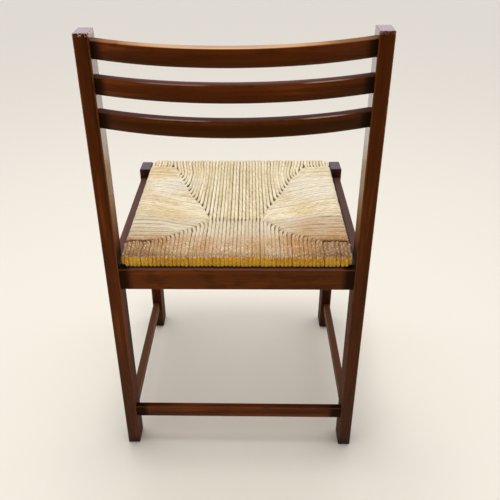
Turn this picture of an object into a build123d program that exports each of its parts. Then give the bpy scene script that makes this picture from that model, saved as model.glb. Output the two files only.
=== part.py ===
"""A wooden side chair with three bowed back slats and a lift-out rush seat.

Millimetres, +Z up. The sitter faces -Y, so the sitter's left is +X.
While the pieces are made, Y = 0 is the front face of the front legs; at the end the whole
chair moves so that the origin is the bottom centre of its bounding box.
"""
from build123d import *
import math
import os

os.makedirs("parts", exist_ok=True)

# Whole chair
floor_depth = 429.0          # front face of a front leg to the rear face of a rear foot
post_length = 801.0          # rear post, along its own slope
rake = 2.86                  # degrees that the back leans away from upright

# Front legs
leg_outer = 222.5            # centre line of the chair to the outer face
leg_width = 23.5
leg_depth = 45.5
leg_height = 432.0
leg_round = 2.5
leg_top_round = 2.3
foot_chamfer = 1.6

# Rear posts, each a leg and a back upright in one straight tapered piece
post_foot_set_in = 0.2       # outer faces of the front legs to those of the rear feet
post_draw_in = 11.5          # from foot to top, on each side
post_width_foot = 23.5
post_width_top = 21.8
post_depth_foot = 39.5
post_depth_top = 35.0
post_round = 2.5
post_top_round = 1.6

# Bowed slats of the back
slat_height = 26.0
slat_thickness = 15.0
slat_pitch = 49.0
top_slat_drop = 9.4          # top of the posts down to the top of the top slat
slat_set_in = 4.0            # rear faces of the posts to the slats, where they meet the posts
slat_bow = 39.0              # middle of a slat behind its ends
top_slat_bow = 46.0
slat_top_round = 5.0
slat_bottom_round = 2.0
slat_round_flats = 3         # flats that make up each rounded edge

# Seat rails
leg_above_rail = 8.5         # top of a front leg over the front and rear rails, which carry the seat
rail_height = 40.0
rail_thickness = 20.0
rear_rail_set_in = 2.0       # rear faces of the posts to the rear rail
front_rail_set_in = 18.0     # front faces of the legs to the front rail
side_rail_drop = 11.5        # front and rear rails' tops down to the side rails' tops
side_rail_height = 40.0
side_rail_thickness = 15.0
side_rail_set_in = 2.5       # outer faces of the legs to the side rails, at the front
side_rail_set_in_rear = 0.6  # outer faces of the posts to the side rails, at the back
rail_round = 1.8

# Stretchers
rear_stretcher_bottom = 76.5
rear_stretcher_height = 25.0
rear_stretcher_thickness = 13.0
rear_stretcher_set_in = 1.0
side_stretcher_bottom = 49.0
side_stretcher_height = 23.0
side_stretcher_thickness = 14.0
side_stretcher_set_in = 2.5  # outer faces of the legs to the side stretchers
stretcher_round = 2.0
stretcher_tenon_thickness = 7.5
stretcher_tenon_shoulder = 4.0     # above and below the tenon
stretcher_tenon_length = 16.0      # on the side stretchers

# Lift-out seat: four bars wound with rush
seat_front = 25.0            # front faces of the legs to the seat
seat_rear_set_in = 7.2       # rear faces of the posts to the seat
seat_gap_front = 5.0         # between the seat and each front leg
seat_gap_rear = 3.6          # between the seat and each rear post
seat_thickness = 25.0
rush_layer = 5.5
end_bar_width = 42.0
side_bar_width = 30.0
seat_corner_round = 14.0
seat_top_round = 9.0
seat_bottom_chamfer = 5.0
seat_dip = 15.0              # worn hollow in the middle of the rush
seat_dip_radius = 160.0
seat_dip_centre = 246.0
seat_rest_gap = 0.3

# Dowels
dowel_sides = 8              # few flats in place of a round, fluted dowel
rail_dowel_diameter = 8.0
rail_dowel_edge = 10.0       # edge of a front or rear rail to the nearer dowel's centre
side_rail_dowel_edge = 9.0   # the same on a side rail
seat_dowel_diameter = 6.0
seat_dowel_length = 32.0
seat_dowel_spacing = 14.0

# Fits
joint_clearance = 0.15       # on each face of a tenon and round each dowel
end_clearance = 0.8          # beyond the end of a tenon or dowel
mortise_wall = 6.0           # wood left beyond a mortise in a post
dowel_wall = 3.0             # wood left beyond a dowel's hole in a post
tongue_root = 5.0            # how far a tongue reaches back into its own piece

# Sizes that follow from those above
slope = math.tan(math.radians(rake))
back = Location((0, floor_depth, 0), (-rake, 0, 0))
post_outer_foot = leg_outer - post_foot_set_in
post_outer_top = post_outer_foot - post_draw_in
rail_top = leg_height - leg_above_rail
rail_bottom = rail_top - rail_height
side_rail_top = rail_top - side_rail_drop
side_rail_bottom = side_rail_top - side_rail_height
leg_inner = leg_outer - leg_width
seat_bottom = rail_top + seat_rest_gap
seat_top = seat_bottom + seat_thickness
post_tenon_length = post_width_top - end_clearance - mortise_wall
rail_dowel_length = 2 * (post_width_top - end_clearance - dowel_wall)
overcut = 20.0               # how far cutting tools run past what they cut
sideways = Vector(1, 0, 0)
backwards = Vector(0, 1, 0)


def along_post(foot, top, distance):
    """Size of a tapered post at a distance along its slope."""
    return foot + (top - foot) * distance / post_length


def post_outer(distance):
    """Centre line of the chair to a post's outer face, at a distance up the slope."""
    return along_post(post_outer_foot, post_outer_top, distance)


def post_inner(distance):
    """Centre line of the chair to a post's inner face, at a distance up the slope."""
    return post_outer(distance) - along_post(post_width_foot, post_width_top, distance)


def up_slope(height):
    """Distance along the slope of the posts' rear faces at a height above the floor."""
    return height / math.cos(math.radians(rake))


def back_y(height):
    """Y of the posts' rear faces at a height above the floor."""
    return floor_depth + height * slope


def mirrored(shape):
    """The same piece on the other side of the chair."""
    return mirror(shape, about=Plane.YZ)


def box_between(x0, x1, y0, y1, z0, z1):
    """Plain block between two corners."""
    return Pos((x0 + x1) / 2, (y0 + y1) / 2, (z0 + z1) / 2) * Box(x1 - x0, y1 - y0, z1 - z0)


def rod(diameter, length, centre, direction):
    """Many-sided bar about a centre, lying along X or Y."""
    start = Vector(*centre) - direction * (length / 2)
    return extrude(Plane(start, z_dir=direction) * RegularPolygon(diameter / 2, dowel_sides), length)


def dowel_and_hole(diameter, length, centre, direction):
    """A dowel and the larger bar that cuts its hole in both pieces it joins."""
    hole = rod(diameter + 2 * joint_clearance, length + 2 * end_clearance, centre, direction)
    return rod(diameter, length, centre, direction), hole


side_rail_outer_front = leg_outer - side_rail_set_in
side_rail_outer_rear = post_outer(up_slope(side_rail_top)) - side_rail_set_in_rear
side_stretcher_outer = leg_outer - side_stretcher_set_in
seat_rear = back_y(seat_bottom) - seat_rear_set_in
seat_half_front = leg_inner - seat_gap_front
seat_half_rear = post_inner(up_slope(seat_top)) - seat_gap_rear


# Rear posts
def post_corners(distance):
    outer = post_outer(distance)
    inner = post_inner(distance)
    depth = along_post(post_depth_foot, post_depth_top, distance)
    plan = [(inner, -depth), (outer, -depth), (outer, 0), (inner, 0)]
    return [Vector(x, y, distance) for x, y in plan]


def tapered_block(low, high):
    """Block with flat sides between two outlines of four corners each."""
    around = [(low[k], low[k - 3], high[k - 3], high[k]) for k in range(4)]
    sides = [make_face(Polyline(*corners, close=True)) for corners in [low, high] + around]
    return Part(Solid(Shell(sides)).wrapped)


post_blank = tapered_block(post_corners(-overcut), post_corners(post_length))
long_edges = post_blank.edges().sort_by(SortBy.LENGTH)[-4:]
post_left = fillet(long_edges, post_round)
post_left = fillet(post_left.faces().sort_by(Axis.Z)[-1].edges(), post_top_round)
post_blank = back * post_blank
post_left = back * post_left
post_left -= box_between(0, 2 * post_outer_foot, 0, 2 * floor_depth, -2 * overcut, 0)
post_left = chamfer(post_left.faces().sort_by(Axis.Z)[0].edges(), foot_chamfer)

# Front legs
leg_left = box_between(leg_inner, leg_outer, 0, leg_depth, 0, leg_height)
leg_left = fillet(leg_left.edges().filter_by(Axis.Z), leg_round)
leg_left = fillet(leg_left.faces().sort_by(Axis.Z)[-1].edges(), leg_top_round)
leg_left = chamfer(leg_left.faces().sort_by(Axis.Z)[0].edges(), foot_chamfer)

posts_blank = [post_blank, mirrored(post_blank)]


def between_posts(shape):
    """Trims a cross piece to the inner faces of the raked posts, which makes its shoulders."""
    for blank in posts_blank:
        shape = shape - blank
    return shape.solids().sort_by(SortBy.VOLUME)[-1]


# Bowed slats, let whole into mortises that follow their bow and lean
def slat_section(inner, outer, bottom, top, clearance):
    """Upright section of a slat with its edges eased by a few flats, grown by a clearance."""
    high = top - slat_top_round
    low = bottom + slat_bottom_round
    centres = [
        (outer - slat_top_round, high, slat_top_round),
        (inner + slat_top_round, high, slat_top_round),
        (inner + slat_bottom_round, low, slat_bottom_round),
        (outer - slat_bottom_round, low, slat_bottom_round),
    ]
    points = []
    for quarter, (x, z, radius) in enumerate(centres):
        for step in range(slat_round_flats + 1):
            angle = math.pi / 2 * (quarter + step / slat_round_flats)
            reach = radius + clearance
            points.append((x + reach * math.cos(angle), z + reach * math.sin(angle)))
    return make_face(Polyline(*points, close=True))


def bowed_slat(bottom, bow, clearance, end_room):
    """A slat turned about the centre of its bow, or with clearances, what cuts its mortises."""
    middle = bottom + slat_height / 2
    half = post_inner(middle)
    radius = (half ** 2 + bow ** 2) / (2 * bow)
    section = slat_section(radius - slat_thickness, radius, bottom, bottom + slat_height, clearance)
    sweep = 2 * math.degrees(math.asin((half + post_tenon_length + end_room) / radius))
    turned = Rot(0, 0, 90 - sweep / 2) * revolve(Plane.XZ * section, Axis.Z, sweep)
    return back * (Pos(0, bow - radius - slat_set_in, 0) * turned)


top_slat_bottom = post_length - top_slat_drop - slat_height
slats = []
slat_mortises = []
for level, bow in enumerate([top_slat_bow, slat_bow, slat_bow]):
    bottom = top_slat_bottom - level * slat_pitch
    slats.append(bowed_slat(bottom, bow, 0, 0))
    slat_mortises.append(bowed_slat(bottom, bow, joint_clearance, end_clearance))


# Cross pieces with level tops and faces that lean with the back
def tenon(half, depth, middle, thickness, height, length, clearance):
    """Tongue on a cross piece's left end, in the slope of the back, or the mortise for it."""
    start = half - tongue_root
    finish = half + length + (end_clearance if clearance else 0)
    wide = thickness / 2 + clearance
    tall = height / 2 + clearance
    return back * box_between(start, finish, depth - wide, depth + wide, middle - tall, middle + tall)


def leaning_bar(bottom, height, thickness, set_in, radius):
    corners = [
        (back_y(bottom) - set_in - thickness, bottom),
        (back_y(bottom) - set_in, bottom),
        (back_y(bottom + height) - set_in, bottom + height),
        (back_y(bottom + height) - set_in - thickness, bottom + height),
    ]
    profile = make_face(Plane.YZ * Polyline(*corners, close=True))
    bar = extrude(profile, post_outer_foot - post_width_foot / 2, both=True)
    bar = fillet(bar.edges().filter_by(Axis.X), radius)
    return between_posts(bar)


rear_rail = leaning_bar(rail_bottom, rail_height, rail_thickness, rear_rail_set_in, rail_round)
rear_stretcher = leaning_bar(rear_stretcher_bottom, rear_stretcher_height,
                             rear_stretcher_thickness, rear_stretcher_set_in, stretcher_round)
rear_stretcher_middle = up_slope(rear_stretcher_bottom + rear_stretcher_height / 2)
rear_tenon_height = rear_stretcher_height - 2 * stretcher_tenon_shoulder
rear_tenon_depth = -rear_stretcher_set_in - rear_stretcher_thickness / 2
rear_tenon_at = post_inner(rear_stretcher_middle)
rear_tongue = tenon(rear_tenon_at, rear_tenon_depth, rear_stretcher_middle,
                    stretcher_tenon_thickness, rear_tenon_height, post_tenon_length, 0)
rear_mortise = tenon(rear_tenon_at, rear_tenon_depth, rear_stretcher_middle,
                     stretcher_tenon_thickness, rear_tenon_height, post_tenon_length,
                     joint_clearance)
rear_stretcher = rear_stretcher + rear_tongue + mirrored(rear_tongue)

front_rail = box_between(-leg_inner, leg_inner, front_rail_set_in,
                         front_rail_set_in + rail_thickness, rail_bottom, rail_top)
front_rail = fillet(front_rail.edges().filter_by(Axis.X), rail_round)

# Side rails, a little closer together at the back
side_corners = [
    (side_rail_outer_front, leg_depth),
    (side_rail_outer_rear, floor_depth),
    (side_rail_outer_rear - side_rail_thickness, floor_depth),
    (side_rail_outer_front - side_rail_thickness, leg_depth),
]
side_plan = Pos(0, 0, side_rail_bottom) * make_face(Polyline(*side_corners, close=True))
side_rail_left = extrude(side_plan, side_rail_height)
side_long = side_rail_left.edges().sort_by(SortBy.LENGTH)[-4:]
side_rail_left = between_posts(fillet(side_long, rail_round))

# Side stretchers, with a tenon at each end
stretcher_middle_x = side_stretcher_outer - side_stretcher_thickness / 2
stretcher_middle_z = side_stretcher_bottom + side_stretcher_height / 2
side_stretcher_left = box_between(
    side_stretcher_outer - side_stretcher_thickness, side_stretcher_outer,
    leg_depth, floor_depth - post_depth_foot / 2,
    side_stretcher_bottom, side_stretcher_bottom + side_stretcher_height)
side_stretcher_left = fillet(side_stretcher_left.edges().filter_by(Axis.Y), stretcher_round)
side_stretcher_left = between_posts(side_stretcher_left)
post_front_low = side_stretcher_left.bounding_box().max.Y


def side_tenon(clearance):
    """Both ends' tongues as one bar through the stretcher, or the bar that cuts their mortises."""
    wide = stretcher_tenon_thickness / 2 + clearance
    tall = side_stretcher_height / 2 - stretcher_tenon_shoulder + clearance
    beyond = stretcher_tenon_length + (end_clearance if clearance else 0)
    return box_between(stretcher_middle_x - wide, stretcher_middle_x + wide,
                       leg_depth - beyond, post_front_low + beyond,
                       stretcher_middle_z - tall, stretcher_middle_z + tall)


side_stretcher_left = side_stretcher_left + side_tenon(0)

# Dowels of the rails: two at each end
rear_rail_dowels = []
front_rail_dowels = []
side_rail_dowels = []
post_holes = []
leg_holes = []
rear_rail_holes = []
front_rail_holes = []
side_rail_holes = []
rear_rail_middle = rear_rail_set_in + rail_thickness / 2
for height in (rail_bottom + rail_dowel_edge, rail_top - rail_dowel_edge):
    place = (post_inner(up_slope(height)), back_y(height) - rear_rail_middle, height)
    pin, hole = dowel_and_hole(rail_dowel_diameter, rail_dowel_length, place, sideways)
    rear_rail_dowels += [pin, mirrored(pin)]
    rear_rail_holes += [hole, mirrored(hole)]
    post_holes.append(hole)
    place = (leg_inner, front_rail_set_in + rail_thickness / 2, height)
    pin, hole = dowel_and_hole(rail_dowel_diameter, rail_dowel_length, place, sideways)
    front_rail_dowels += [pin, mirrored(pin)]
    front_rail_holes += [hole, mirrored(hole)]
    leg_holes.append(hole)
for height in (side_rail_bottom + side_rail_dowel_edge, side_rail_top - side_rail_dowel_edge):
    place = (side_rail_outer_front - side_rail_thickness / 2, leg_depth, height)
    pin, hole = dowel_and_hole(rail_dowel_diameter, rail_dowel_length, place, backwards)
    side_rail_dowels.append(pin)
    side_rail_holes.append(hole)
    leg_holes.append(hole)
    post_depth_here = along_post(post_depth_foot, post_depth_top, up_slope(height))
    place = (side_rail_outer_rear - side_rail_thickness / 2, back_y(height) - post_depth_here, height)
    pin, hole = dowel_and_hole(rail_dowel_diameter, rail_dowel_length, place, backwards)
    side_rail_dowels.append(pin)
    side_rail_holes.append(hole)
    post_holes.append(hole)

for hole in rear_rail_holes:
    rear_rail -= hole
for hole in front_rail_holes:
    front_rail -= hole
for hole in side_rail_holes:
    side_rail_left -= hole
for hole in post_holes + slat_mortises + [rear_mortise]:
    post_left -= hole
post_left -= side_tenon(joint_clearance)
for hole in leg_holes:
    leg_left -= hole
leg_left -= side_tenon(joint_clearance)


# Lift-out seat
def seat_half(depth):
    """Half width of the rush at a distance from the front of the chair."""
    share = (depth - seat_front) / (seat_rear - seat_front)
    return seat_half_front + (seat_half_rear - seat_half_front) * share


def seat_plan(inset_x, y0, y1, level):
    corners = [(-seat_half(y0) + inset_x, y0), (seat_half(y0) - inset_x, y0),
               (seat_half(y1) - inset_x, y1), (-seat_half(y1) + inset_x, y1)]
    return Pos(0, 0, level) * make_face(Polyline(*corners, close=True))


rush = extrude(seat_plan(0, seat_front, seat_rear, seat_bottom), seat_thickness)
rush = fillet(rush.edges().filter_by(Axis.Z), seat_corner_round)
rush = fillet(rush.faces().sort_by(Axis.Z)[-1].edges(), seat_top_round)
rush = chamfer(rush.faces().sort_by(Axis.Z)[0].edges(), seat_bottom_chamfer)
ball = (seat_dip_radius ** 2 + seat_dip ** 2) / (2 * seat_dip)
rush -= Pos(0, seat_dip_centre, seat_top - seat_dip + ball) * Rot(90, 0, 0) * Sphere(ball)

bar_low = seat_bottom + rush_layer
bar_tall = seat_thickness - 2 * rush_layer
bar_front = seat_front + rush_layer
bar_rear = seat_rear - rush_layer
seat_bar_front = extrude(seat_plan(rush_layer, bar_front, bar_front + end_bar_width, bar_low), bar_tall)
seat_bar_rear = extrude(seat_plan(rush_layer, bar_rear - end_bar_width, bar_rear, bar_low), bar_tall)
opening_front = bar_front + end_bar_width
opening_rear = bar_rear - end_bar_width
side_bar_corners = [
    (seat_half(opening_front) - rush_layer, opening_front),
    (seat_half(opening_rear) - rush_layer, opening_rear),
    (seat_half(opening_rear) - rush_layer - side_bar_width, opening_rear),
    (seat_half(opening_front) - rush_layer - side_bar_width, opening_front),
]
side_bar_plan = Pos(0, 0, bar_low) * make_face(Polyline(*side_bar_corners, close=True))
seat_bar_left = extrude(side_bar_plan, bar_tall)
rush_weave = rush - seat_bar_front - seat_bar_rear - seat_bar_left - mirrored(seat_bar_left)

seat_dowels_left = []
for corner_y in (opening_front, opening_rear):
    corner_x = seat_half(corner_y) - rush_layer - side_bar_width / 2
    for shift in (-seat_dowel_spacing / 2, seat_dowel_spacing / 2):
        place = (corner_x + shift, corner_y, bar_low + bar_tall / 2)
        pin, hole = dowel_and_hole(seat_dowel_diameter, seat_dowel_length, place, backwards)
        seat_dowels_left.append(pin)
        seat_bar_left -= hole
        if corner_y == opening_front:
            seat_bar_front = seat_bar_front - hole - mirrored(hole)
        else:
            seat_bar_rear = seat_bar_rear - hole - mirrored(hole)

# Pieces by name
pieces = {
    "rear_post_left": post_left,
    "rear_post_right": mirrored(post_left),
    "front_leg_left": leg_left,
    "front_leg_right": mirrored(leg_left),
    "top_slat": slats[0],
    "middle_slat": slats[1],
    "lower_slat": slats[2],
    "rear_rail": rear_rail,
    "front_rail": front_rail,
    "side_rail_left": side_rail_left,
    "side_rail_right": mirrored(side_rail_left),
    "rear_stretcher": rear_stretcher,
    "side_stretcher_left": side_stretcher_left,
    "side_stretcher_right": mirrored(side_stretcher_left),
    "rear_rail_dowels": rear_rail_dowels,
    "front_rail_dowels": front_rail_dowels,
    "side_rail_dowels_left": side_rail_dowels,
    "side_rail_dowels_right": [mirrored(pin) for pin in side_rail_dowels],
    "seat_bar_front": seat_bar_front,
    "seat_bar_rear": seat_bar_rear,
    "seat_bar_left": seat_bar_left,
    "seat_bar_right": mirrored(seat_bar_left),
    "seat_bar_dowels_left": seat_dowels_left,
    "seat_bar_dowels_right": [mirrored(pin) for pin in seat_dowels_left],
    "rush_weave": rush_weave,
}

# The origin goes to the bottom centre of the whole chair
solids = [shape for shape in pieces.values() if not isinstance(shape, list)]
boxes = [shape.bounding_box() for shape in solids]
low_y = min(box.min.Y for box in boxes)
high_y = max(box.max.Y for box in boxes)
low_z = min(box.min.Z for box in boxes)
to_origin = Pos(0, -(low_y + high_y) / 2, -low_z)
print("overall depth", round(high_y - low_y, 2), "moved in Y by", round(-(low_y + high_y) / 2, 2))
for name, shape in pieces.items():
    if isinstance(shape, list):
        placed = Compound(children=[to_origin * pin for pin in shape])
    else:
        placed = to_origin * shape
    export_step(placed, f"parts/{name}.step")
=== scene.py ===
# %% [markdown]
# # A rush seat chair, dressed
# The chair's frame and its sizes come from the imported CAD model. This lesson keeps the wooden pieces
# as they are, gives them a stained and varnished finish, and makes anew what a plain solid can't show:
# the finely rounded edges of the bowed slats, and the rush that is wound over the seat cord by cord.

# %% Load the frame
import math
import random
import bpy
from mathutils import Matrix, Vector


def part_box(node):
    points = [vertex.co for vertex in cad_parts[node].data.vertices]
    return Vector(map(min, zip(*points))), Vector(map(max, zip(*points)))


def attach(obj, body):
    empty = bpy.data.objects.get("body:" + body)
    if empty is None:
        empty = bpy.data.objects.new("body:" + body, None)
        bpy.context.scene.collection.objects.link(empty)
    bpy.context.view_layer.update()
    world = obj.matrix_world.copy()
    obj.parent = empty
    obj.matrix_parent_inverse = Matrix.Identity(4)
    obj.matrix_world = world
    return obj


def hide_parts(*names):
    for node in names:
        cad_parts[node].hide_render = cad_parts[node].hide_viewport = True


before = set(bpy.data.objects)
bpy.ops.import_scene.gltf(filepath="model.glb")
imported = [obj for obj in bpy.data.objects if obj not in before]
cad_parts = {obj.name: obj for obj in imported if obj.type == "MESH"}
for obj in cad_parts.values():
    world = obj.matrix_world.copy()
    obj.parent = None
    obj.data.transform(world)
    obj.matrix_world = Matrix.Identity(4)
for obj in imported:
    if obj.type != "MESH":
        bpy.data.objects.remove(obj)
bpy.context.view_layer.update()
from types import SimpleNamespace
import bpy
from mathutils import Matrix, Vector

# %% [markdown]
# ## One helper for all node trees
# Materials and Geometry Nodes are graphs. They could be written out node by node, but such lists are
# hard to read, so a small class stands for one output socket. Sums and products of such fields add the
# Math nodes, and every other node comes from a single method.


# %% Fields that write nodes
class Field:
    """One output socket of a node tree. Arithmetic on fields adds Math nodes."""

    def __init__(self, tree, socket=None):
        self.tree = tree
        self.socket = socket

    def node(self, kind, settings=None, sockets=None, output=0):
        """Adds a node, sets its settings and then its sockets, and gives one output as a field."""
        made = self.tree.nodes.new(kind)
        for name, value in (settings or {}).items():
            setattr(made, name, value)
        for name, value in (sockets or {}).items():
            if isinstance(value, Field):
                self.tree.links.new(value.socket, made.inputs[name])
            else:
                made.inputs[name].default_value = value
        return Field(self.tree, made.outputs[output])

    def math(self, operation, first, second=0.0):
        return self.node("ShaderNodeMath", {"operation": operation}, {0: first, 1: second})

    def apply(self, operation, other=0.0):
        """This field under another operation of the Math node, such as ABSOLUTE or MINIMUM."""
        return self.math(operation, self, other)

    def __add__(self, other):
        return self.math("ADD", self, other)

    def __radd__(self, other):
        return self.math("ADD", other, self)

    def __sub__(self, other):
        return self.math("SUBTRACT", self, other)

    def __rsub__(self, other):
        return self.math("SUBTRACT", other, self)

    def __mul__(self, other):
        return self.math("MULTIPLY", self, other)

    def __rmul__(self, other):
        return self.math("MULTIPLY", other, self)

    def __truediv__(self, other):
        return self.math("DIVIDE", self, other)

    def __pow__(self, other):
        return self.math("POWER", self, other)

    def step(self, low, high):
        """Rises smoothly from 0 at low to 1 at high; falls where low is above high."""
        if low > high:
            return 1.0 - self.step(high, low)
        sockets = {"Value": self, "From Min": low, "From Max": high}
        return self.node("ShaderNodeMapRange", {"interpolation_type": "SMOOTHSTEP"}, sockets)

    def span(self, rise, fall):
        """Rises over the first pair of values and falls again over the second."""
        return self.step(*rise) * self.step(*fall)

    def mix(self, first, second):
        """Goes from the first colour to the second as this field goes from 0 to 1."""
        return self.node("ShaderNodeMix", {"data_type": "RGBA"}, {0: self, 6: first, 7: second}, 2)

    def scaled(self, x, y, z):
        return self.node("ShaderNodeVectorMath", {"operation": "MULTIPLY"}, {0: self, 1: (x, y, z)})

    def vector(self, x=0.0, y=0.0, z=0.0):
        return self.node("ShaderNodeCombineXYZ", {}, {0: x, 1: y, 2: z})

    def noise(self, scale, detail=2.0, roughness=0.5):
        """Noise at this vector, from about 0.2 to 0.8."""
        sockets = {"Vector": self, "Scale": scale, "Detail": detail, "Roughness": roughness}
        return self.node("ShaderNodeTexNoise", {}, sockets, "Fac")

    def split(self):
        """The three parts of a vector, as fields."""
        parts = self.node("ShaderNodeSeparateXYZ", {}, {0: self})
        return [Field(self.tree, socket) for socket in parts.socket.node.outputs]


# %% Helpers for objects and materials
def placed(name, data):
    """A new object with this data, linked into the scene."""
    made = bpy.data.objects.new(name, data)
    bpy.context.collection.objects.link(made)
    return made


def new_material(name):
    """A material, a field to start its nodes from, and its shader's sockets."""
    material = bpy.data.materials.new(name)
    material.use_nodes = True
    shader = material.node_tree.nodes["Principled BSDF"]
    return material, Field(material.node_tree), shader.inputs


def join(field, socket):
    """Lets a field drive a shader's socket."""
    field.tree.links.new(field.socket, socket)


def layered(colour, *layers):
    """Lays colours over a first one, each as far as its mask says."""
    for mask, coat in layers:
        colour = mask.mix(colour, coat)
    return colour


def bump(height, strength, distance, sockets):
    """Lets a field of heights tilt a shader's normals."""
    values = {"Strength": strength, "Distance": distance, "Height": height}
    join(height.node("ShaderNodeBump", {}, values), sockets["Normal"])


def object_place(start):
    """Object coordinates: places on the chair in metres, because every piece sits at the origin."""
    return start.node("ShaderNodeTexCoord", {}, {}, "Object")


def finish_node(node, material):
    """Puts a material on a CAD node through its object's slots, which leaves its mesh alone."""
    for slot in node.material_slots:
        slot.link = "OBJECT"
        slot.material = material


# %% [markdown]
# ## Camera, floor and light
# The camera stands behind the chair and above its back, looking down by about thirty degrees. It could
# be placed by eye; here it was fitted to the chair's edges, with the lens shifted because it doesn't
# point at the picture's middle. A pale floor and soft light from above keep colours close to how they
# are written.

# %% Camera
CAMERA_PLACE = (-0.02379, 1.03383, 0.95277)
YAW, PITCH, ROLL = (math.radians(angle) for angle in (1.8642, 30.270, -0.8284))
FOCAL_PIXELS, IMAGE_PIXELS, SENSOR = 607.38, 500, 36.0
CENTRE_PIXELS = 233.74  # where the lens points, from the picture's left edge

camera_data = bpy.data.cameras.new("camera")
camera_data.sensor_width = SENSOR
camera_data.lens = FOCAL_PIXELS / IMAGE_PIXELS * SENSOR
camera_data.shift_x = 0.5 - CENTRE_PIXELS / IMAGE_PIXELS
camera = placed("camera", camera_data)
turned = Matrix.Rotation(math.pi + YAW, 4, "Z") @ Matrix.Rotation(math.pi / 2 - PITCH, 4, "X")
camera.matrix_world = Matrix.Translation(CAMERA_PLACE) @ turned @ Matrix.Rotation(ROLL, 4, "Z")
bpy.context.scene.camera = camera
bpy.context.scene.view_settings.view_transform = "Standard"
print("camera with a lens of", round(camera_data.lens, 2), "mm")

# %% Floor
FLOOR_REACH = 6.0
FLOOR_COLOUR, FLOOR_ROUGHNESS = (0.90, 0.85, 0.72, 1), 0.6

floor_mesh = bpy.data.meshes.new("floor")
floor_corners = [(x, y, 0) for x, y in ((-1, -1), (1, -1), (1, 1), (-1, 1))]
floor_mesh.from_pydata([Vector(corner) * FLOOR_REACH for corner in floor_corners], [], [(0, 1, 2, 3)])
floor = placed("floor", floor_mesh)
floor_paint, start, sockets = new_material("pale_floor")
sockets["Base Color"].default_value = FLOOR_COLOUR
sockets["Roughness"].default_value = FLOOR_ROUGHNESS
floor_mesh.materials.append(floor_paint)
print("floor", 2 * FLOOR_REACH, "m wide")

# %% Sky
SKY_COLOUR = (0.96, 0.95, 1.0, 1)
SKY_REAR, SKY_RISE = 0.4, 0.8  # from behind the chair, and what is added towards its front
SKY_SEEN = 0.86  # what the camera itself sees past the floor

world = bpy.data.worlds.new("world")
world.use_nodes = True
sky = world.node_tree.nodes["Background"].inputs
sky["Color"].default_value = SKY_COLOUR
start = Field(world.node_tree)
towards = start.node("ShaderNodeTexCoord", {}, {}, "Generated").split()
seen = start.node("ShaderNodeLightPath", {}, {}, "Is Camera Ray")
lit = SKY_REAR + SKY_RISE * towards[1].step(0.5, -0.5)
join(lit + seen * (SKY_SEEN - lit), sky["Strength"])
bpy.context.scene.world = world
print("sky from", SKY_REAR, "to", round(SKY_REAR + SKY_RISE, 2))

# %% Lamp
LAMP_PLACE, LAMP_AIM = Vector((0.1, 0.2, 2.6)), Vector((0, 0, 0.4))
LAMP_SIZE, LAMP_WATTS = 0.8, 22

lamp_data = bpy.data.lights.new("light_above", "AREA")
lamp_data.shape = "DISK"
lamp_data.size = LAMP_SIZE
lamp_data.energy = LAMP_WATTS
lamp = placed("light_above", lamp_data)
lamp.location = LAMP_PLACE
lamp.rotation_euler = (LAMP_AIM - LAMP_PLACE).to_track_quat("-Z", "Y").to_euler()
print("lamp of", LAMP_WATTS, "W")

# %% [markdown]
# ## Stained wood
# The chair is of a pale, close-grained wood, stained dark red-brown and varnished to a satin shine. A
# picture of wood could be wrapped round each piece, but noise that is drawn out along the grain does
# better: its streaks run the length of a piece and turn its corners without a seam. Each material
# therefore knows which way its pieces' grain runs, and the streaks on the slats follow their bow.

# %% What the marks on wood read
ACROSS, DEEP, UPRIGHT = 0, 1, 2  # the axis that a piece's grain runs along
SLATS_ABOVE = (0.60, 0.62)  # of the pieces that run across, only the slats are this high
BOW_CURVE = 1.08  # how the slats' bow grows with the square of x, per metre


def wood_fields(start, grain, worn_and_highlit):
    """Places, the ways that a face looks, and noise along the grain, for all marks to share."""
    place = object_place(start)
    x, y, z = place.split()
    on_slat = z.step(*SLATS_ABOVE)
    unbent = place
    if grain == ACROSS:
        unbent = start.vector(x, y + on_slat * x * x * BOW_CURVE, z)

    def drawn_out(across, along, detail):
        """Noise that is drawn out along the grain."""
        scale = [across, across, across]
        scale[grain] = along
        return unbent.scaled(*scale).noise(1.0, detail, 0.6)

    sideways, rearward, upward = start.node("ShaderNodeNewGeometry", {}, {}, "Normal").split()
    beside_rear = sideways.apply("ABSOLUTE") if grain == UPRIGHT else upward
    return SimpleNamespace(
        grain=grain, worn_and_highlit=worn_and_highlit, place=place, x=x, y=y, z=z, on_slat=on_slat,
        rearward=rearward, upward=upward, outwards=sideways * x.apply("SIGN"),
        rear_edge=beside_rear.apply("MINIMUM", rearward),
        streaks=drawn_out(110.0, 2.2, 3.0), bands=drawn_out(36.0, 1.6, 2.0),
        fine=drawn_out(520.0, 18.0, 2.0).step(0.36, 0.5),
        clouds=place.noise(9.0, 3.0), patchy=place.noise(45.0, 3.0).step(0.25, 0.5))


# %% Stain
DARK, MIDDLE, LIGHT = (0.024, 0.004, 0.0015, 1), (0.086, 0.013, 0.003, 1), (0.20, 0.042, 0.007, 1)
RUBBED = (0.32, 0.09, 0.022, 1)  # an edge that has lost some of its stain
STREAK_SHARE, BAND_SHARE, CLOUD_SHARE = 0.4, 0.42, 0.18
TONE_REACH = (0.16, 0.16, 0.21)  # for each grain; a smaller reach gives more contrast
PORES = (0.5, 0.5, 0.35)  # for each grain, how strongly fine pores show


def stained(wood):
    """Stain that has sunk in unevenly along the grain, with fine dark pores."""
    reach = TONE_REACH[wood.grain]
    tone = wood.streaks * STREAK_SHARE + wood.bands * BAND_SHARE + wood.clouds * CLOUD_SHARE
    tone = tone.step(0.5 - reach, 0.5 + reach)
    return layered(
        tone.step(0.0, 0.6).mix(DARK, MIDDLE),
        (tone.step(0.6, 1.0), LIGHT), (PORES[wood.grain] * (1.0 - wood.fine), DARK))


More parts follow.
